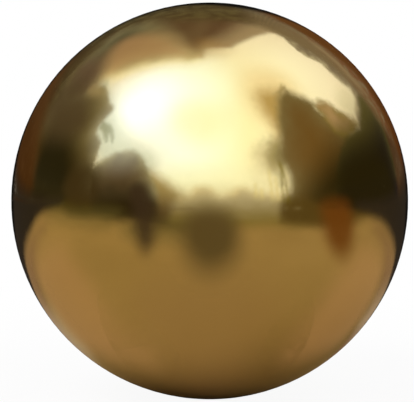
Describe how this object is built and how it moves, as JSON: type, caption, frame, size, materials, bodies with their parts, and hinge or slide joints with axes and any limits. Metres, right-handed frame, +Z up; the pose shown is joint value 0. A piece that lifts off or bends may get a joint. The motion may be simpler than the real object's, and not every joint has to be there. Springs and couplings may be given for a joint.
{
  "type": "decorative sphere",
  "caption": "Mirror polished hollow metal ball with a gold finish, seamless outside, for display on a ring or in a dish.",
  "frame": {"origin": "centre of the ball", "axes": "+Z up along the axis on which the two half shells were drawn; the closing weld lies in the XY plane, ground flush and not seen from outside"},
  "size_m": [0.15, 0.15, 0.15],
  "materials": {
    "gold_mirror": "polished"
  },
  "bodies": {
    "root": {"ball": "gold_mirror"}
  },
  "joints": []
}
